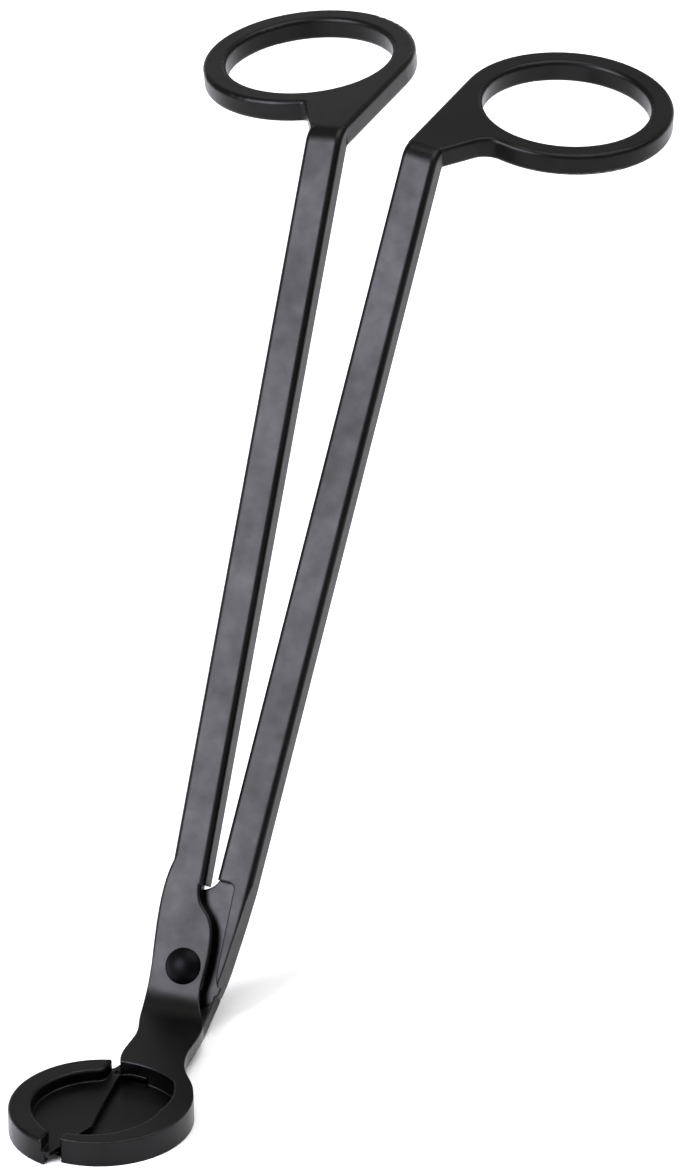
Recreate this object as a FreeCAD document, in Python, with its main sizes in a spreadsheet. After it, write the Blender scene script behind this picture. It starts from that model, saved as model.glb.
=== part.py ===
import FreeCAD, Part
import os
from math import acos, asin, atan, cos, degrees, hypot, pi, radians, sin, sqrt, tan

# Wick trimmer: two crossing one-piece arms on one rivet. Z is up, the tray rests on Z = 0,
# the origin is below the middle of the tray, the tip looks towards -Y and the right side is +X.
# Drawn with the tray closed, which is the rest pose of the hinge.

V = FreeCAD.Vector
doc = FreeCAD.newDocument("wick_trimmer")

# ---------------------------------------------------------------- driving sizes, millimetres and degrees
SIZES = [
    ("pivot_x", -1.5), ("pivot_y", 35.4), ("pivot_z", 8.5),
    ("slope", 55.5),             # angle between the handles' plane and the table
    ("spread", 4.2),             # angle between the two shanks in the rest pose
    ("shank_width", 5.9), ("shank_thickness", 4.0), ("shank_round", 0.9),
    ("shank_length", 129.5),     # pivot to the bend, along the slope
    ("shank_gap_half", 3.38),    # half the distance between the shank centre lines at the pivot
    ("shank_shift", -0.15),       # both shanks sit this far sideways of the middle between the loops
    ("loop_half_spacing", 16.6), ("loop_reach", 24.1), ("loop_tilt", 3.2),
    ("loop_outer_radius", 16.7), ("loop_hole_radius", 13.1), ("loop_thickness", 3.6), ("loop_round", 0.7),
    ("bend_radius", 3.5), ("bend_inner_radius", 1.2),
    ("web_back", 22.9), ("web_clear", 0.05), ("web_foot", 5.95),
    ("web_fillet_front", 1.0), ("web_fillet_rear", 3.0),
    ("lap_gap_half", 0.05),      # half the clearance between the two lap faces
    ("shoulder", 12.9), ("neck_radius", 6.0),
    ("rim_height", 4.2), ("tray_radius", 13.9), ("left_inner_radius", 10.3), ("rim_round", 0.5),
    ("front_neck_bottom", 2.2), ("rear_neck_top", 2.05), ("thick_floor_top", 2.2),
    ("blade_bottom", 1.3), ("tongue_bottom", 1.35), ("tongue_top", 1.95), ("front_floor_top", 1.0),
    ("swing_radius_inner", 18.4), ("swing_radius_outer", 18.75), ("fold_relief_radius", 6.9),
    ("tray_shift_x", 0.1), ("tray_shift_y", 1.0),
    ("rivet_radius", 1.65), ("rivet_turning_gap", 0.05), ("rivet_fixed_gap", 0.02), ("rivet_seat", 0.03),
    ("head_radius", 2.85), ("head_height", 1.45), ("tail_radius", 2.5), ("tail_height", 0.9),
]
sheet = doc.addObject("Spreadsheet::Sheet", "Sizes")
S = {}
for row, (alias, value) in enumerate(SIZES, start=1):
    sheet.set("A%d" % row, alias)
    sheet.set("B%d" % row, repr(value))
    sheet.setAlias("B%d" % row, alias)
    S[alias] = value
doc.recompute()

# ---------------------------------------------------------------- frames
PIVOT = V(S["pivot_x"], S["pivot_y"], S["pivot_z"])
A = radians(S["slope"])
AXIS = V(0, -sin(A), cos(A))          # rivet axis, from the back of the joint to the head
SLOPE_ROT = FreeCAD.Rotation(V(1, 0, 0), S["slope"])
HALF_T = S["shank_thickness"] / 2
TILT = radians(S["loop_tilt"])
FOLD_TURN = degrees(atan(tan(TILT) / sin(A)))   # how far the fold line leans in the handles' plane
FOLD = acos(cos(A) * cos(TILT))                 # angle of the fold between shank and loop


def arm_rotation(side):
    """Rotation of an arm: side +1 is the front arm, -1 the rear arm."""
    return SLOPE_ROT.multiply(FreeCAD.Rotation(V(0, 0, 1), side * S["spread"] / 2))


def lateral(side):
    """Shank centre line, sideways from the pivot."""
    return -side * S["shank_gap_half"] - S["pivot_x"] + S["shank_shift"]


# ---------------------------------------------------------------- small helpers
def new_body(name, base=V(0, 0, 0), rotation=FreeCAD.Rotation()):
    body = doc.addObject("PartDesign::Body", name)
    body.Placement = FreeCAD.Placement(base, rotation)
    return body


def new_sketch(body, role, geometry, lift=0.0):
    plane = [f for f in body.Origin.OriginFeatures if f.Role == role][0]
    sketch = body.newObject("Sketcher::SketchObject", body.Name + "_outline%d" % (len(body.Group) + 1))
    sketch.AttachmentSupport = [(plane, "")]
    sketch.MapMode = "FlatFace"
    sketch.AttachmentOffset = FreeCAD.Placement(V(0, 0, lift), FreeCAD.Rotation())
    sketch.addGeometry(geometry, False)
    return sketch


def pad(body, sketch, length, midplane=False):
    feature = body.newObject("PartDesign::Pad", body.Name + "_pad%d" % (len(body.Group) + 1))
    feature.Profile = sketch
    if isinstance(length, str):
        feature.setExpression("Length", length)
    else:
        feature.Length = length
    if midplane:
        feature.SideType = "Symmetric"
    doc.recompute()
    body.Tip = feature
    return feature


class Outline:
    """A closed outline of straight lines and three-point arcs; `flip` -1 mirrors it."""

    def __init__(self, x, y, flip=1):
        self.flip = flip
        self.at = self.start = V(flip * x, y, 0)
        self.items = []

    def line(self, *points):
        for x, y in points:
            end = V(self.flip * x, y, 0)
            self.items.append(Part.LineSegment(self.at, end))
            self.at = end
        return self

    def arc(self, mid, end):
        m, e = V(self.flip * mid[0], mid[1], 0), V(self.flip * end[0], end[1], 0)
        self.items.append(Part.Arc(self.at, m, e))
        self.at = e
        return self

    def curve(self, *points):
        """A smooth curve through the points, from where the outline is now."""
        spline = Part.BSplineCurve()
        spline.interpolate([self.at] + [V(self.flip * x, y, 0) for x, y in points])
        self.items.append(spline)
        self.at = V(self.flip * points[-1][0], points[-1][1], 0)
        return self

    def close(self):
        if self.at.distanceToPoint(self.start) > 1e-6:
            self.items.append(Part.LineSegment(self.at, self.start))
        return self.items


def circle(x, y, r):
    return Part.Circle(V(x, y, 0), V(0, 0, 1), r)


def circle_through(a, b, c):
    """Centre and radius of the circle through three points."""
    d = 2 * (a[0] * (b[1] - c[1]) + b[0] * (c[1] - a[1]) + c[0] * (a[1] - b[1]))
    qa, qb, qc = (p[0] ** 2 + p[1] ** 2 for p in (a, b, c))
    x = (qa * (b[1] - c[1]) + qb * (c[1] - a[1]) + qc * (a[1] - b[1])) / d
    y = (qa * (c[0] - b[0]) + qb * (a[0] - c[0]) + qc * (b[0] - a[0])) / d
    return (x, y), hypot(a[0] - x, a[1] - y)


def boolean(kind, name, parts):
    feature = doc.addObject("Part::" + kind, name)
    if kind == "Cut":
        feature.Base, feature.Tool = parts
    else:
        feature.Shapes = parts
    feature.Refine = True
    doc.recompute()
    return feature


def rounded(name, base, radius_name, wanted, scales=(1.0, 0.8, 0.6, 0.4)):
    """Rounds the edges of `base` that `wanted` picks, with a smaller radius where the full one fails."""
    shape = base.Shape
    picked = [i for i, e in enumerate(shape.Edges, start=1) if wanted(shape, e)]
    for scale in scales:
        r = S[radius_name] * scale
        try:
            trial = shape.makeFillet(r, [shape.Edges[i - 1] for i in picked])
        except Exception:
            continue
        if trial.isValid() and trial.Volume > 0.5 * shape.Volume and len(trial.Solids) == 1:
            feature = doc.addObject("Part::Fillet", name)
            feature.Base = base
            feature.Edges = [(i, r, r) for i in picked]
            doc.recompute()
            if feature.Shape.isValid() and not feature.Shape.isNull():
                print(name, "rounded", len(picked), "edges at", round(r, 3))
                return feature
            doc.removeObject(feature.Name)
    print(name, "left square")
    return base


def middle(edge):
    a, b = edge.ParameterRange
    return edge.valueAt((a + b) / 2)


# ---------------------------------------------------------------- finger loops with their webs
def tangent_fillet(start, direction, outer, r):
    """Fillet between a line and the ring's circle: its two tangent points and its middle point."""
    nx, ny = -direction[1], direction[0]
    best = None
    for sign in (1, -1):
        cx0, cy0 = start[0] + sign * nx * r, start[1] + sign * ny * r
        b = cx0 * direction[0] + cy0 * direction[1]
        c = cx0 * cx0 + cy0 * cy0 - (outer + r) ** 2
        if b * b - c < 0:
            continue
        t = -b - sqrt(b * b - c)
        cx, cy = cx0 + t * direction[0], cy0 + t * direction[1]
        if best is None or cx < best[0]:
            best = (cx, cy, sign)
    cx, cy, sign = best
    on_line = (cx - sign * nx * r, cy - sign * ny * r)
    k = outer / (outer + r)
    on_ring = (cx * k, cy * k)
    mx, my = (on_line[0] + on_ring[0]) / 2 - cx, (on_line[1] + on_ring[1]) / 2 - cy
    h = hypot(mx, my)
    return on_line, (cx + mx / h * r, cy + my / h * r), on_ring


def loop_centre(side):
    """Ring centre in the arm's own frame: sideways, up the slope, along the rivet axis."""
    return V(-side * S["loop_half_spacing"] - S["pivot_x"],
             S["shank_length"] + S["loop_reach"] * cos(A), -S["loop_reach"] * sin(A))


def make_loop(side, name):
    spin = FreeCAD.Rotation(AXIS, side * S["spread"] / 2)
    centre = PIVOT + arm_rotation(side).multVec(loop_centre(side))
    body = new_body(name, centre, spin.multiply(FreeCAD.Rotation(V(0, 1, 0), -side * S["loop_tilt"])))
    outer, back = S["loop_outer_radius"], -S["web_back"]
    mid = abs(lateral(side) - loop_centre(side).x)
    inner_x = mid + S["shank_width"] / 2 + S["web_clear"]
    outer_x = mid - S["shank_width"] / 2 - S["web_clear"]
    foot = (S["web_foot"], -sqrt(outer ** 2 - S["web_foot"] ** 2))
    dx, dy = foot[0] - outer_x, foot[1] - back
    h = hypot(dx, dy)
    fillet = S["web_fillet_front"] if side > 0 else S["web_fillet_rear"]
    on_line, fillet_mid, on_ring = tangent_fillet((outer_x, back), (dx / h, dy / h), outer, fillet)
    reach = hypot(inner_x, back)
    turn = -acos(inner_x / reach) + acos(outer / reach)
    tangent = (outer * cos(turn), outer * sin(turn))
    start_angle = -acos(on_ring[0] / outer)
    middle_angle = (start_angle + turn - 2 * pi) / 2
    path = Outline(inner_x, back, side).line((outer_x, back), on_line).arc(fillet_mid, on_ring)
    path.arc((outer * cos(middle_angle), outer * sin(middle_angle)), tangent)
    items = path.close() + [circle(0, 0, S["loop_hole_radius"])]
    pad(body, new_sketch(body, "XY_Plane", items), "Sizes.loop_thickness", True)

    def flat_edges(shape, edge):
        p = body.Placement.inverse().multVec(middle(edge))
        return abs(abs(p.z) - S["loop_thickness"] / 2) < 1e-3 and p.y > back + 0.01
    return rounded(name + "_rounded", body, "loop_round", flat_edges)


# ---------------------------------------------------------------- shanks with the bend into the loop
def make_shank(side, name, low_end, outline):
    centre = loop_centre(side)
    turn = radians(side * FOLD_TURN)
    yc, nc = -centre.x * sin(turn) + centre.y * cos(turn), centre.z
    half_loop = S["loop_thickness"] / 2
    ex, en = cos(FOLD), -sin(FOLD)
    wx, wn = sin(FOLD), cos(FOLD)
    y_top = yc + (half_loop - (HALF_T - nc) * wn) / wx
    y_bot = yc + (-half_loop - (-HALF_T - nc) * wn) / wx
    mx, mn = wx, 1 + wn
    mh = hypot(mx, mn)
    mx, mn = mx / mh, mn / mh
    r, ri = S["bend_radius"], S["bend_inner_radius"]
    lo, li = r * tan(FOLD / 2), ri * tan(FOLD / 2)
    end = (y_top + ex * (lo + 2.0), HALF_T + en * (lo + 2.0))
    low = (end[0] - S["loop_thickness"] * wx, end[1] - S["loop_thickness"] * wn)
    path = Outline(low_end, -HALF_T).line((low_end, HALF_T), (y_top - lo, HALF_T))
    path.arc((y_top - lo + mx * r, HALF_T - r + mn * r), (y_top + ex * lo, HALF_T + en * lo))
    path.line(end, low, (y_bot + ex * li, -HALF_T + en * li))
    path.arc((y_bot - li + mx * ri, -HALF_T - ri + mn * ri), (y_bot - li, -HALF_T))
    strip = new_body(name + "_strip", PIVOT, arm_rotation(side).multiply(
        FreeCAD.Rotation(V(0, 0, 1), side * FOLD_TURN)))
    pad(strip, new_sketch(strip, "YZ_Plane", path.close()), 60.0, True)
    trim = new_body(name + "_trim", PIVOT, arm_rotation(side))
    pad(trim, new_sketch(trim, "XY_Plane", outline), 60.0, True)
    bar = boolean("MultiCommon", name + "_bar", [strip, trim])
    arm = FreeCAD.Placement(PIVOT, arm_rotation(side)).inverse()
    own = strip.Placement.inverse()

    def long_edge(shape, edge):
        p, q = arm.multVec(middle(edge)), own.multVec(middle(edge))
        if p.y < (S["shoulder"] + 1.5):
            return False
        if abs((q.y - end[0]) * ex + (q.z - end[1]) * en) < 1e-3:
            return False
        return abs(abs(p.x - lateral(side)) - S["shank_width"] / 2) < 1e-3
    return rounded(name + "_rounded", bar, "shank_round", long_edge)


def shank_sides(side):
    return lateral(side) - S["shank_width"] / 2, lateral(side) + S["shank_width"] / 2


# ---------------------------------------------------------------- neck profile, seen from the side
def corner(n_slope, z_flat):
    """Where the plane at height n above the lap face meets the level z; returns Y, and s up the slope."""
    s = (z_flat - S["pivot_z"] - n_slope * cos(A)) / sin(A)
    return S["pivot_y"] + s * cos(A) - n_slope * sin(A), s


def neck_bend(n_slope, z_flat, r):
    """Arc between the slope and the flat: its upper end, middle and flat end in (Y, Z)."""
    y, s = corner(n_slope, z_flat)
    k = r * tan(A / 2)
    upper = (y + k * cos(A), z_flat + k * sin(A))
    flat = (y - k, z_flat)
    centre = (y - k, z_flat + r)
    return upper, (centre[0] + r * sin(A / 2), centre[1] - r * cos(A / 2)), flat


def slope_point(n_slope, s):
    return (S["pivot_y"] + s * cos(A) - n_slope * sin(A), S["pivot_z"] + s * sin(A) + n_slope * cos(A))


def make_neck(name, n_low, n_high, z_low, z_high, y_front, plan):
    r = S["neck_radius"]
    up1, mid1, flat1 = neck_bend(n_high, z_high, r + HALF_T - n_high)
    up2, mid2, flat2 = neck_bend(n_low, z_low, r + HALF_T - n_low)
    path = Outline(y_front, z_low).line((y_front, z_high), flat1).arc(mid1, up1)
    path.line(slope_point(n_high, 1.0), slope_point(n_low, 1.0), up2).arc(mid2, flat2)
    band = new_body(name + "_band")
    pad(band, new_sketch(band, "YZ_Plane", path.close()), 60.0, True)
    prism = new_body(name + "_plan")
    pad(prism, new_sketch(prism, "XY_Plane", plan), 16.0)
    return boolean("MultiCommon", name, [band, prism])


SHANK_CAP = S["shank_length"] + 35.5      # the side outlines run well past the upper bend

# ======================================================== front arm: left handle, right half of the tray
G = S["lap_gap_half"]
RIM = S["tray_radius"]
RC = (-S["tray_shift_x"], S["tray_shift_y"])       # centre of the right half
LC = (S["tray_shift_x"], -S["tray_shift_y"])       # centre of the left half


def on_right(angle, r=RIM):
    return RC[0] + r * cos(radians(angle)), RC[1] + r * sin(radians(angle))


def on_left(angle, r=RIM):
    return LC[0] + r * cos(radians(angle)), LC[1] + r * sin(radians(angle))


def ring_x(centre, r, x, sign):
    """Point of a circle at a given X, on the +Y (sign 1) or -Y (sign -1) side."""
    return (x, centre[1] + sign * sqrt(r * r - (x - centre[0]) ** 2))


front_loop = make_loop(1, "front_loop")
x0, x1 = shank_sides(1)
front_shank = make_shank(1, "front_shank", S["shoulder"] - 4,
                         Outline(x0, S["shoulder"]).line((x0, SHANK_CAP), (x1, SHANK_CAP), (x1,
                                    S["shoulder"])).close())

front_lap = new_body("front_lap", PIVOT, arm_rotation(1))
path = Outline(-4.3, 17.5).curve((-5.5, 13.4), (-5.85, 9.0), (-5.6, 2.3), (-5.25, -3.4)).line((3.5, -3.4))
path.curve((3.8, -1.6), (4.05, 0.8), (4.05, 3.75), (3.6, 6.6), (2.5, 8.6), (1.15, 10.1), (0.5, 12.0),
           (-0.2, 17.5))
pad(front_lap, new_sketch(front_lap, "XY_Plane", path.close(), G), HALF_T - G)
arm_front_inverse = front_lap.Placement.inverse()


def lap_top(shape, edge):
    p = arm_front_inverse.multVec(middle(edge))
    return abs(p.z - HALF_T) < 1e-3 and -3.3 < p.y < 15.9


front_lap_round = rounded("front_lap_rounded", front_lap, "rim_round", lap_top)

TIP_X = -0.8
NECK_X = 2.35
inner_tip = (TIP_X, -10.98)
plan = Outline(*inner_tip).line(ring_x(RC, RIM, TIP_X, -1)).arc(on_right(-30), on_right(30))
plan.curve((10.3, 10.5), (8.2, 13.1), (6.85, 15.9), (6.2, 18.5), (5.95, 21.5), (5.6, 24.4), (4.8, 27.1),
           (3.6, 29.0), (2.5, 30.8), (2.0, 32.6))
plan.line((2.0, 34.6), (-6.8, 34.6), (-6.55, 31.6))
plan.curve((-6.1, 28.6), (-4.9, 24.6), (-3.7, 21.2), (-3.4, 17.6), (-2.95, 13.7), (-2.3, 12.05))
plan.arc((2.24, 11.95), (7.73, 9.69)).arc((9.38, 6.48), (9.73, 0.83)).arc((7.98, -5.78), inner_tip)
front_neck_raw = make_neck("front_top", G, HALF_T, S["front_neck_bottom"], S["rim_height"], -16.0,
           plan.close())

# The rear neck must pass under the front neck through the whole swing: its upper profile, turned about the
# rivet axis on the left side only, is cut from the underside of the front neck.
sweep = new_body("swing_relief", PIVOT, SLOPE_ROT)
gap_up, gap_mid, gap_flat = neck_bend(G - 0.02, S["rear_neck_top"] + 0.1, S["neck_radius"] + HALF_T)


def to_slope(point):
    """(Y, Z) in the plane of symmetry to (s, n) about the pivot."""
    y, z = point[0] - S["pivot_y"], point[1] - S["pivot_z"]
    return y * cos(A) + z * sin(A), -y * sin(A) + z * cos(A)


far = (-6.0, S["rear_neck_top"] + 0.1)
path = Outline(0, -14).line((0, G - 0.02), to_slope(gap_up)).arc(to_slope(gap_mid), to_slope(gap_flat))
path.line(to_slope(far), (to_slope(far)[0], -14))
turned = new_sketch(sweep, "YZ_Plane", path.close())
relief = sweep.newObject("PartDesign::Revolution", "swing_relief_turn")
relief.Profile = turned
relief.ReferenceAxis = (turned, ["V_Axis"])
relief.Angle = 180.0
doc.recompute()
sweep.Tip = relief
doc.recompute()
if sweep.Shape.BoundBox.Center.x > S["pivot_x"]:
    relief.Reversed = True
    doc.recompute()
front_neck = boolean("Cut", "front_neck_relieved", [front_neck_raw, sweep])

# The rim's lower part stops beside the tongue of the rear arm and clears the circle the rear neck swings in.
front_rim = new_body("front_rim")
wall_centre, wall_radius = circle_through((-2.3, 12.05), (2.24, 11.95), (7.73, 9.69))
path = Outline(*inner_tip).line(ring_x(RC, RIM, TIP_X, -1)).arc(on_right(-20), ring_x(RC, RIM, NECK_X, 1))
path.line(ring_x(wall_centre, wall_radius, NECK_X, 1)).arc(ring_x(wall_centre, wall_radius, 5.4, 1),
           (7.73, 9.69))
path.arc((9.38, 6.48), (9.73, 0.83)).arc((7.98, -5.78), inner_tip)
pad(front_rim, new_sketch(front_rim, "XY_Plane", path.close()), 2.6)

front_floor = new_body("front_floor")
FLOOR_X = -2.7
path = Outline(*ring_x(RC, 12.3, FLOOR_X, -1)).arc(on_right(-30, 12.3), on_right(50, 12.3))
path.arc(on_right(80, 12.3), ring_x(RC, 12.3, FLOOR_X, 1))
pad(front_floor, new_sketch(front_floor, "XY_Plane", path.close()), "Sizes.front_floor_top")
turning = doc.addObject("Part::Cylinder", "swing_clearance")
turning.setExpression("Radius", "Sizes.swing_radius_outer")
turning.Height = 60
turning.Placement = FreeCAD.Placement(PIVOT - AXIS * 30, SLOPE_ROT)
front_floor_cut = boolean("Cut", "front_floor_cut", [front_floor, turning])
front_rim_cut = boolean("Cut", "front_rim_cut", [front_rim, turning])

front_hole = doc.addObject("Part::Cylinder", "front_hole")
front_hole.setExpression("Radius", "Sizes.rivet_radius + Sizes.rivet_turning_gap")
front_hole.Height = 20
front_hole.Placement = FreeCAD.Placement(PIVOT - AXIS * 10, SLOPE_ROT)
front_whole = boolean("MultiFuse", "front_arm_whole",
                      [front_loop, front_shank, front_lap_round, front_neck, front_rim_cut,
                                 front_floor_cut])
front_arm = boolean("Cut", "front_arm", [front_whole, front_hole])

# ======================================================== rear arm: right handle, left half of the tray
rear_loop = make_loop(-1, "rear_loop")
x0, x1 = shank_sides(-1)
side_path = Outline(x0, -3.4).line((x0, SHANK_CAP), (x1, SHANK_CAP), (x1, 14.5))
side_path.curve((7.4, 11.8), (7.15, 8.1), (6.84, 4.2), (6.53, 0.3), (5.95, -3.4))
rear_shank = make_shank(-1, "rear_shank", -9.0, side_path.close())

# Pocket that the front lap turns in, and the ramp that runs the wall out towards the tray.
cavity = new_body("rear_cavity", PIVOT, arm_rotation(-1))
path = Outline(-12, -12).line((-12, 14.2), (4.0, 14.2)).arc((4.75, 13.85), (5.05, 13.0))
path.line((5.7, 0.0), (7.2, -6), (7.2, -12))
pad(cavity, new_sketch(cavity, "XY_Plane", path.close(), -G), 8.0)
ramp = new_body("rear_ramp", PIVOT, arm_rotation(-1))
path = Outline(-14, -G).line((-5.2, -G)).curve((-3.4, 0.55), (-1.2, HALF_T + 0.02)).line((-1.2, 8),
           (-14, 8))
pad(ramp, new_sketch(ramp, "YZ_Plane", path.close()), 60.0, True)
rear_shank_cut = boolean("Cut", "rear_shank_pocketed", [rear_shank, cavity])
rear_shank_ramp = boolean("Cut", "rear_shank_ramped", [rear_shank_cut, ramp])

rear_lap = new_body("rear_lap", PIVOT, arm_rotation(-1))
path = Outline(x0 + 0.02, 17.0).line((x0 + 0.02, 15.2))
path.curve((1.55, 14.2), (1.0, 13.3), (0.2, 12.65), (-1.2, 12.0), (-3.4, 10.5), (-4.9, 7.6), (-5.4, 4.0),
           (-5.3, -3.4))
path.line((5.9, -3.4), (6.48, 0.3))
path.line((6.79, 4.2), (7.1, 8.1), (7.3, 11.8), (6.5, 16.0))
pad(rear_lap, new_sketch(rear_lap, "XY_Plane", path.close(), -HALF_T), HALF_T - G)

plan = Outline(-4.45, 9.5).line((-4.45, 12.35)).curve((-3.5, 14.3), (-3.8, 18.0), (-4.6, 23.0), (-5.7,
           28.2), (-6.2, 31.4))
plan.line((-6.2, 37.0), (4.2, 37.0), (4.2, 34.6)).curve((3.85, 33.0), (3.75, 31.0), (3.85, 29.0), (4.2,
           26.5), (4.5, 23.5), (4.85, 20.4), (5.1, 16.0), (5.1, 9.5))
rear_neck_raw = make_neck("rear_flat", -HALF_T, -G, 0.0, S["rear_neck_top"], 9.0, plan.close())
keep = doc.addObject("Part::Cylinder", "swing_limit")
keep.setExpression("Radius", "Sizes.swing_radius_inner")
keep.Height = 60
keep.Placement = FreeCAD.Placement(PIVOT - AXIS * 30, SLOPE_ROT)
fold_relief = doc.addObject("Part::Cylinder", "fold_relief")
fold_relief.setExpression("Radius", "Sizes.fold_relief_radius")
fold_relief.Height = 6
fold_relief.Placement = FreeCAD.Placement(PIVOT - AXIS * G, SLOPE_ROT)
rear_neck_kept = boolean("MultiCommon", "rear_neck_kept", [rear_neck_raw, keep])
rear_neck = boolean("Cut", "rear_neck", [rear_neck_kept, fold_relief])

tongue = new_body("rear_tongue")
path = Outline(-4.4, 8.5).line((-4.4, 12.3)).curve((-3.65, 13.7), (-3.6, 16.2)).line((2.0, 16.2), (2.0,
           12.25)).arc((-0.1, 12.45), (-1.9, 11.9)).line((-1.9, 8.5))
pad(tongue, new_sketch(tongue, "XY_Plane", path.close(), S["tongue_bottom"]),
           S["tongue_top"] - S["tongue_bottom"])

THICK_X = -3.05
blade = new_body("rear_blade")
path = Outline(-5.0, 11.2).line((-1.95, 11.2)).curve((-1.7, 8.6), (-0.95, 3.7), (-0.3, -0.3), (0.45,
           -4.4))
path.curve((-0.4, -7.4), (-1.2, -9.9)).line((-1.25, -11.3), ring_x(LC, RIM - 0.15, -2.1, -1))
path.line((-5.0, ring_x(LC, RIM - 0.15, -5.0, -1)[1]))
pad(blade, new_sketch(blade, "XY_Plane", path.close(), S["blade_bottom"]),
           S["thick_floor_top"] - S["blade_bottom"])

rear_floor = new_body("rear_floor")
path = Outline(*ring_x(LC, RIM, THICK_X, 1)).arc(on_left(180), ring_x(LC, RIM, THICK_X, -1))
pad(rear_floor, new_sketch(rear_floor, "XY_Plane", path.close()), "Sizes.thick_floor_top")

rear_rim = new_body("rear_rim")
RI = S["left_inner_radius"]
top_out, low_out = ring_x(LC, RIM, -3.85, 1), ring_x(LC, RIM, -3.35, -1)
top_in, low_in = ring_x(LC, RI, -4.5, 1), ring_x(LC, RI + 0.6, -3.5, -1)
path = Outline(*top_out).arc(on_left(180), low_out).line(low_in).curve(on_left(-125, RI + 0.1),
           on_left(-142, RI))
path.arc(on_left(175, RI), top_in).curve((-3.75, 8.9), (-3.55, 10.2), top_out)
pad(rear_rim, new_sketch(rear_rim, "XY_Plane", path.close()), "Sizes.rim_height")
rear_rim_round = rounded("rear_rim_rounded", rear_rim, "rim_round",
                         lambda shape, edge: abs(middle(edge).z - S["rim_height"]) < 1e-3)

rear_hole = doc.addObject("Part::Cylinder", "rear_hole")
rear_hole.setExpression("Radius", "Sizes.rivet_radius + Sizes.rivet_fixed_gap")
rear_hole.Height = 20
rear_hole.Placement = FreeCAD.Placement(PIVOT - AXIS * 10, SLOPE_ROT)
rear_whole = boolean("MultiFuse", "rear_arm_whole",
                     [rear_loop, rear_shank_ramp, rear_lap, rear_neck, tongue, blade, rear_floor,
                                rear_rim_round])
rear_arm = boolean("Cut", "rear_arm", [rear_whole, rear_hole])

# ================================================================ pivot rivet
rivet = new_body("pivot_rivet", PIVOT, SLOPE_ROT)
R, HR, HH = S["rivet_radius"], S["head_radius"], S["head_height"]
TR, TH, SEAT = S["tail_radius"], S["tail_height"], S["rivet_seat"]
h0, t0 = HALF_T + SEAT, -HALF_T - SEAT
EDGE = 0.2                                         # straight edge under the dome
CAP = HH - EDGE
DOME = (HR ** 2 + CAP ** 2) / (2 * CAP)            # the dome is a spherical cap
LEAN = asin(HR / DOME) / 2
path = Outline(0, t0 - TH).line((TR * 0.55, t0 - TH)).arc((TR * 0.88, t0 - TH * 0.72), (TR,
           t0)).line((R, t0), (R, h0), (HR, h0), (HR, h0 + EDGE))
path.arc((DOME * sin(LEAN), h0 + HH - DOME + DOME * cos(LEAN)), (0, h0 + HH))
profile = new_sketch(rivet, "XZ_Plane", path.close())
turn = rivet.newObject("PartDesign::Revolution", "rivet_turn")
turn.Profile = profile
turn.ReferenceAxis = (profile, ["V_Axis"])
turn.Angle = 360.0
doc.recompute()
rivet.Tip = turn
doc.recompute()

# ================================================================ checks and export
for thing in doc.Objects:
    if "Invalid" in thing.State or "Error" in thing.State:
        raise RuntimeError("object %s did not recompute: %s" % (thing.Name, thing.State))
os.makedirs("parts", exist_ok=True)
for label, thing in (("front_arm", front_arm), ("rear_arm", rear_arm), ("pivot_rivet", rivet)):
    shape = thing.Shape
    if shape.isNull() or not shape.isValid() or len(shape.Solids) != 1:
        raise RuntimeError("%s is not one valid solid (%d solids)" % (label, len(shape.Solids)))
    thing.Label = label
    shape.exportStep("parts/%s.step" % label)
    print(label, "volume mm3", round(shape.Volume, 1), "box", shape.BoundBox)
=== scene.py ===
"""Wick trimmer: the finishes, the studio and the camera around its modelled steel arms and rivet.
"""

import logging
import math
from dataclasses import dataclass, field
from enum import Enum
from typing import Any

import bmesh
import bpy
from mathutils import Matrix, Vector


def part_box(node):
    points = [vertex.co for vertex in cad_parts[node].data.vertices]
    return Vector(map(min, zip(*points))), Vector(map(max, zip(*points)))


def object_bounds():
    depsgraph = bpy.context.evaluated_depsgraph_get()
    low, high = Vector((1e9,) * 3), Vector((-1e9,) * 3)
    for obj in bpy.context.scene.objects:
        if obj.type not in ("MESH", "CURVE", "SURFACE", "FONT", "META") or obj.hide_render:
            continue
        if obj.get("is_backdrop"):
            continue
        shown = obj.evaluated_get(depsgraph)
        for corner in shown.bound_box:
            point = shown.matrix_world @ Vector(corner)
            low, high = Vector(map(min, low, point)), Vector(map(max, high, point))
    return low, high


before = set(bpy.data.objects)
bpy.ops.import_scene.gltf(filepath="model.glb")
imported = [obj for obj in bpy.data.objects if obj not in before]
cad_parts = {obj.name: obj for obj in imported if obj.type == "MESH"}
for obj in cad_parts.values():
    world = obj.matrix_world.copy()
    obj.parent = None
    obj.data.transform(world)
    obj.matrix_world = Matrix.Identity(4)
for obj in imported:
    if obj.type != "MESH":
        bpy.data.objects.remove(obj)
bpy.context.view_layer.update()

MM = 0.001
# A colour mix node keeps its two colours and its result at these socket numbers.
MIX_FIRST, MIX_SECOND, MIX_RESULT = 6, 7, 2
log = logging.getLogger("wick_trimmer")


class ArmPlace(Enum):
    """Which of the two crossing arms a piece is."""

    FRONT = "front_arm"
    REAR = "rear_arm"


def linear(hex_colour: str) -> tuple[float, float, float, float]:
    """Turns an sRGB hex colour into the linear colour that a shader wants.

    Args:
        hex_colour: The colour as "#rrggbb".

    Returns:
        Linear red, green, blue and an alpha of one.
    """
    channels = [int(hex_colour[i:i + 2], 16) / 255.0 for i in (1, 3, 5)]
    red, green, blue = (
        c / 12.92 if c <= 0.04045 else ((c + 0.055) / 1.055) ** 2.4 for c in channels
    )
    return red, green, blue, 1.0


def per_metre(size_mm: float) -> float:
    """Returns the texture scale whose features are size_mm wide."""
    return 1.0 / (size_mm * MM)


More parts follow.
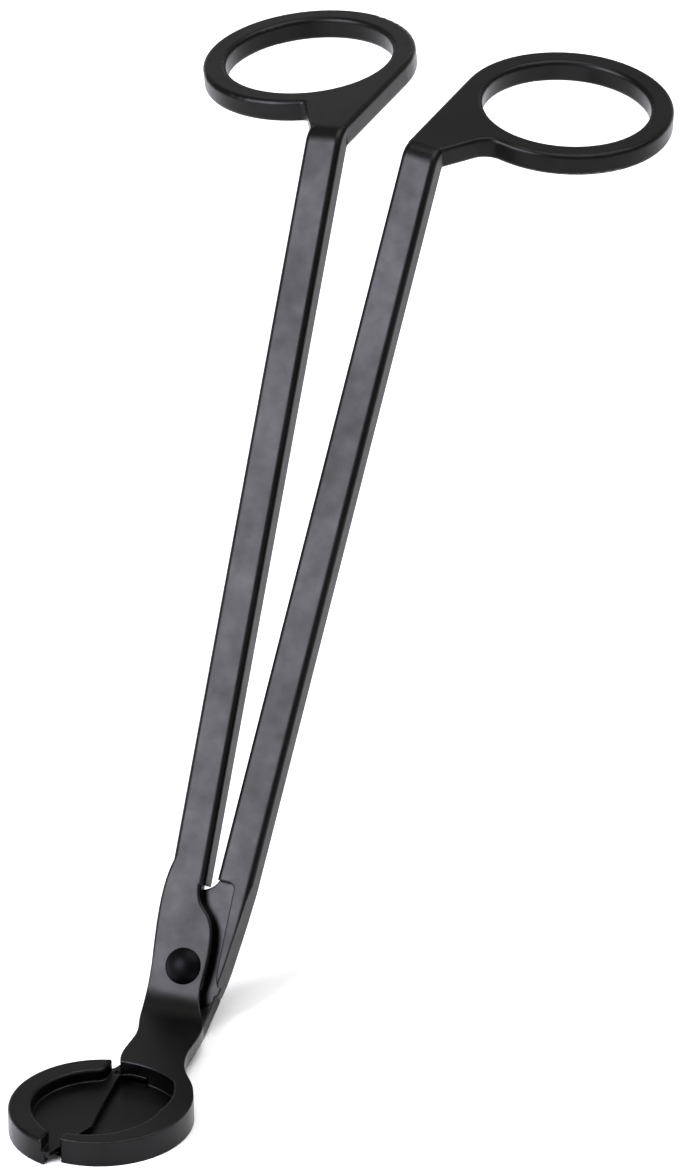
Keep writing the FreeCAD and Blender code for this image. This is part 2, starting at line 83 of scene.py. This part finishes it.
def add_node(
    tree: bpy.types.NodeTree,
    kind: str,
    settings: dict[str, Any] | None = None,
    links: dict[str | int, bpy.types.NodeSocket] | None = None,
) -> bpy.types.Node:
    """Adds one shader node with its settings and its incoming links.

    Args:
        tree: The node tree that gets the node.
        kind: Blender's name for the node type.
        settings: Values by attribute name, or by input name or number.
        links: Sockets of other nodes, by input name or number.

    Returns:
        The new node.
    """
    node = tree.nodes.new(kind)
    for name, value in (settings or {}).items():
        if isinstance(name, str) and hasattr(node, name):
            setattr(node, name, value)
        else:
            node.inputs[name].default_value = value
    for name, socket in (links or {}).items():
        tree.links.new(socket, node.inputs[name])
    return node


def empty_material(name: str) -> bpy.types.Material:
    """Returns a new material with an empty node tree."""
    material = bpy.data.materials.new(name)
    material.use_nodes = True
    material.node_tree.nodes.clear()
    return material


@dataclass(frozen=True)
class BlackCoatedSteel:
    """Stainless steel, tumbled smooth and then vacuum coated black.

    Tumbling leaves a satin surface with no brush lines, and the thin dark ceramic coat over it
    keeps the metal's soft sheen: flat faces go lavender grey towards a light and near black away
    from it. The coat is thinnest along the edges, where handling polishes it a little brighter.
    """

    name: str = "black_coated_tumbled_stainless_steel"
    coat: str = "#1c1b1a"
    coat_thin: str = "#232222"
    worn_edge: str = "#353236"
    roughness: float = 0.36
    roughness_spread: float = 0.045
    edge_round_mm: float = 0.45
    edge_samples: int = 8
    # The edge mask runs from the first value of normal agreement to the second.
    edge_span: tuple[float, float] = (0.985, 0.86)
    # Where the handling noise is low and high, and how worn the edge is there.
    patch_span: tuple[float, float] = (0.38, 0.62)
    patch_wear: tuple[float, float] = (0.15, 0.8)
    # Tumbling media leaves dimples of about 0.2 mm; they are drawn at 0.5 mm so that they show.
    dimple_mm: float = 0.5
    dimple_depth_mm: float = 0.006
    cloud_mm: float = 14.0
    handling_mm: float = 3.0
    handling_span: tuple[float, float] = (0.3, 0.7)
    cloud_span: tuple[float, float] = (0.35, 0.65)
    bump_strength: float = 0.6

    def build(self) -> bpy.types.Material:
        """Makes the material.

        Returns:
            The finished material.
        """
        material = empty_material(self.name)
        tree = material.node_tree
        place = add_node(tree, "ShaderNodeTexCoord").outputs["Object"]
        cloud = add_node(
            tree, "ShaderNodeTexNoise",
            {"Scale": per_metre(self.cloud_mm), "Detail": 3.0, "Roughness": 0.55},
            {"Vector": place},
        )
        handling = add_node(
            tree, "ShaderNodeTexNoise",
            {"Scale": per_metre(self.handling_mm), "Detail": 4.0, "Roughness": 0.6},
            {"Vector": place},
        )
        dimples = add_node(
            tree, "ShaderNodeTexNoise",
            {"Scale": per_metre(self.dimple_mm), "Detail": 2.0, "Roughness": 0.5},
            {"Vector": place},
        )
        soft_edge = add_node(
            tree, "ShaderNodeBevel",
            {"samples": self.edge_samples, "Radius": self.edge_round_mm * MM},
        )
        edge = self._edge_mask(tree, soft_edge.outputs["Normal"], handling.outputs[0])
        colour = self._colour(tree, cloud.outputs[0], edge)
        gloss = add_node(
            tree, "ShaderNodeMapRange",
            {"From Min": self.handling_span[0], "From Max": self.handling_span[1],
             "To Min": self.roughness - self.roughness_spread,
             "To Max": self.roughness + self.roughness_spread},
            {"Value": handling.outputs[0]},
        )
        bump = add_node(
            tree, "ShaderNodeBump",
            {"Strength": self.bump_strength, "Distance": self.dimple_depth_mm * MM},
            {"Height": dimples.outputs[0], "Normal": soft_edge.outputs["Normal"]},
        )
        surface = add_node(
            tree, "ShaderNodeBsdfPrincipled", {"Metallic": 1.0},
            {"Base Color": colour, "Roughness": gloss.outputs[0], "Normal": bump.outputs[0]},
        )
        add_node(tree, "ShaderNodeOutputMaterial", {}, {"Surface": surface.outputs[0]})
        return material

    def _edge_mask(
        self, tree: bpy.types.NodeTree, rounded: bpy.types.NodeSocket,
        breakup: bpy.types.NodeSocket,
    ) -> bpy.types.NodeSocket:
        """Makes a mask that is one along a handled edge and zero on a face.

        Args:
            tree: The material's node tree.
            rounded: The normal of the surface with its edges rounded.
            breakup: A noise that interrupts the line.

        Returns:
            The mask's socket.
        """
        face = add_node(tree, "ShaderNodeNewGeometry")
        agree = add_node(
            tree, "ShaderNodeVectorMath", {"operation": "DOT_PRODUCT"},
            {0: rounded, 1: face.outputs["Normal"]},
        )
        turned = add_node(
            tree, "ShaderNodeMapRange",
            {"From Min": self.edge_span[0], "From Max": self.edge_span[1]},
            {"Value": agree.outputs["Value"]},
        )
        patchy = add_node(
            tree, "ShaderNodeMapRange",
            {"From Min": self.patch_span[0], "From Max": self.patch_span[1],
             "To Min": self.patch_wear[0], "To Max": self.patch_wear[1]},
            {"Value": breakup},
        )
        mask = add_node(
            tree, "ShaderNodeMath", {"operation": "MULTIPLY"},
            {0: turned.outputs[0], 1: patchy.outputs[0]},
        )
        return mask.outputs[0]

    def _colour(
        self, tree: bpy.types.NodeTree, cloud: bpy.types.NodeSocket,
        edge: bpy.types.NodeSocket,
    ) -> bpy.types.NodeSocket:
        """Mixes the coat's own two tones and the brighter worn edge.

        Args:
            tree: The material's node tree.
            cloud: A slow noise that says where the coat is thinner.
            edge: The mask of the handled edges.

        Returns:
            The colour's socket.
        """
        thickness = add_node(
            tree, "ShaderNodeMapRange",
            {"From Min": self.cloud_span[0], "From Max": self.cloud_span[1]}, {"Value": cloud},
        )
        coat = add_node(
            tree, "ShaderNodeMix",
            {"data_type": "RGBA", MIX_FIRST: linear(self.coat),
             MIX_SECOND: linear(self.coat_thin)},
            {0: thickness.outputs[0]},
        )
        worn = add_node(
            tree, "ShaderNodeMix", {"data_type": "RGBA", MIX_SECOND: linear(self.worn_edge)},
            {0: edge, MIX_FIRST: coat.outputs[MIX_RESULT]},
        )
        return worn.outputs[MIX_RESULT]


@dataclass(frozen=True)
class StudioPaper:
    """Seamless white background paper: matte, with a faint pulp tooth."""

    name: str = "matte_white_background_paper"
    sheet: str = "#f6f6f5"
    shade: str = "#f2f2f2"
    roughness: float = 0.9
    # Paper fibres are about 0.1 mm; the tooth is drawn at 2 mm so that it shows at all.
    tooth_mm: float = 2.0

    def build(self) -> bpy.types.Material:
        """Makes the material.

        Returns:
            The finished material.
        """
        material = empty_material(self.name)
        tree = material.node_tree
        place = add_node(tree, "ShaderNodeTexCoord").outputs["Object"]
        tooth = add_node(
            tree, "ShaderNodeTexNoise", {"Scale": per_metre(self.tooth_mm), "Detail": 2.0},
            {"Vector": place},
        )
        colour = add_node(
            tree, "ShaderNodeMix",
            {"data_type": "RGBA", MIX_FIRST: linear(self.sheet),
             MIX_SECOND: linear(self.shade)},
            {0: tooth.outputs[0]},
        )
        surface = add_node(
            tree, "ShaderNodeBsdfPrincipled", {"Roughness": self.roughness},
            {"Base Color": colour.outputs[MIX_RESULT]},
        )
        add_node(tree, "ShaderNodeOutputMaterial", {}, {"Surface": surface.outputs[0]})
        return material


@dataclass
class SteelPiece:
    """A steel piece: its modelled solid is shown as it is, with its finish put on."""

    node: str
    finish: bpy.types.Material

    def dress(self) -> bpy.types.Object:
        """Gives the piece its finish.

        Returns:
            The dressed object.
        """
        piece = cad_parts[self.node]
        mesh = piece.data
        mesh.materials.clear()
        mesh.materials.append(self.finish)
        for face in mesh.polygons:
            face.material_index = 0
        low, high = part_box(self.node)
        size = [round(v / MM, 1) for v in high - low]
        log.info("%s: %s, %s mm", self.node, self.finish.name, size)
        return piece


@dataclass
class Trimmer:
    """The wick trimmer: two one-piece arms that cross at a rivet."""

    rivet_node: str = "pivot_rivet"
    arm_finish: BlackCoatedSteel = field(default_factory=BlackCoatedSteel)
    rivet_finish: BlackCoatedSteel = field(
        default_factory=lambda: BlackCoatedSteel(
            name="black_coated_turned_steel_rivet", coat="#0e0d0e", coat_thin="#131213",
            worn_edge="#211f22", roughness=0.42, edge_round_mm=0.2, dimple_mm=0.4,
        )
    )

    def build(self) -> None:
        """Dresses both arms and the rivet."""
        steel = self.arm_finish.build()
        for place in ArmPlace:
            SteelPiece(place.value, steel).dress()
        SteelPiece(self.rivet_node, self.rivet_finish.build()).dress()


@dataclass
class StudioLight:
    """One soft lamp, aimed at the trimmer."""

    name: str
    bearing: tuple[float, float, float]
    distance: float
    width: float
    height: float
    watts: float
    colour: str = "#ffffff"

    def build(self, aim: Vector) -> bpy.types.Object:
        """Hangs the lamp.

        Args:
            aim: The point that the lamp faces.

        Returns:
            The lamp object.
        """
        data = bpy.data.lights.new(self.name, "AREA")
        data.shape = "RECTANGLE"
        data.size, data.size_y = self.width, self.height
        data.energy = self.watts
        data.color = linear(self.colour)[:3]
        lamp = bpy.data.objects.new(self.name, data)
        bpy.context.scene.collection.objects.link(lamp)
        towards = Vector(self.bearing).normalized()
        lamp.location = aim + towards * self.distance
        lamp.rotation_euler = towards.to_track_quat("Z", "Y").to_euler()
        return lamp


@dataclass
class Studio:
    """The floor, the lamps, the surrounding light and the camera."""

    floor_half: float = 3.0
    ambient: str = "#ffffff"
    ambient_strength: float = 0.5
    camera_aim_mm: tuple[float, float, float] = (18.515, 51.782, 71.633)
    camera_distance_mm: float = 3060.14
    camera_azimuth_deg: float = 25.1183
    camera_elevation_deg: float = 28.5974
    camera_roll_deg: float = -1.6211
    camera_reach: float = 20.0
    frame_height_mm: float = 24.0
    lens_mm: float = 410.96

    def build(self) -> None:
        """Sets the whole studio up."""
        low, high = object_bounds()
        aim = (low + high) / 2
        self._floor()
        self._surround()
        for lamp in self._lamps():
            lamp.build(aim)
        self._camera()

    def _lamps(self) -> list[StudioLight]:
        """Returns the lamps: one for the sloping fronts and one overhead."""
        return [
            StudioLight("front_softbox", (-0.42, -0.72, 0.56), 1.3, 0.75, 0.75, 34.0, "#edf0ff"),
            StudioLight("overhead_softbox", (0.25, 0.15, 1.0), 1.6, 1.5, 1.5, 28.0),
        ]

    def _floor(self) -> None:
        """Lays the pale floor under the trimmer."""
        sheet = bmesh.new()
        h = self.floor_half
        corners = ((-h, -h, 0), (h, -h, 0), (h, h, 0), (-h, h, 0))
        sheet.faces.new([sheet.verts.new(corner) for corner in corners])
        mesh = bpy.data.meshes.new("paper_floor")
        sheet.to_mesh(mesh)
        sheet.free()
        floor = bpy.data.objects.new("paper_floor", mesh)
        bpy.context.scene.collection.objects.link(floor)
        mesh.materials.append(StudioPaper().build())
        floor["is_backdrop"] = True

    def _surround(self) -> None:
        """Lights the scene evenly from all round."""
        world = bpy.data.worlds.new("studio_surround")
        world.use_nodes = True
        sky = world.node_tree.nodes["Background"]
        sky.inputs["Color"].default_value = linear(self.ambient)
        sky.inputs["Strength"].default_value = self.ambient_strength
        bpy.context.scene.world = world

    def _camera(self) -> None:
        """Places the long-lens camera."""
        data = bpy.data.cameras.new("studio_camera")
        data.sensor_fit = "VERTICAL"
        data.sensor_height = self.frame_height_mm
        data.lens = self.lens_mm
        data.clip_end = self.camera_reach
        camera = bpy.data.objects.new("studio_camera", data)
        bpy.context.scene.collection.objects.link(camera)
        turn = (
            Matrix.Rotation(math.radians(self.camera_azimuth_deg), 4, "Z")
            @ Matrix.Rotation(math.radians(90.0 - self.camera_elevation_deg), 4, "X")
            @ Matrix.Rotation(math.radians(self.camera_roll_deg), 4, "Z")
        )
        aim = Matrix.Translation(Vector(self.camera_aim_mm) * MM)
        step_back = Matrix.Translation((0.0, 0.0, self.camera_distance_mm * MM))
        camera.matrix_world = aim @ turn @ step_back
        bpy.context.scene.camera = camera


def main() -> None:
    """Builds the trimmer and the studio."""
    logging.basicConfig(level=logging.INFO, format="%(name)s: %(message)s")
    Trimmer().build()
    Studio().build()
    bpy.context.scene.view_settings.view_transform = "Standard"
    log.info("boxes written")


if __name__ == "__main__":
    main()
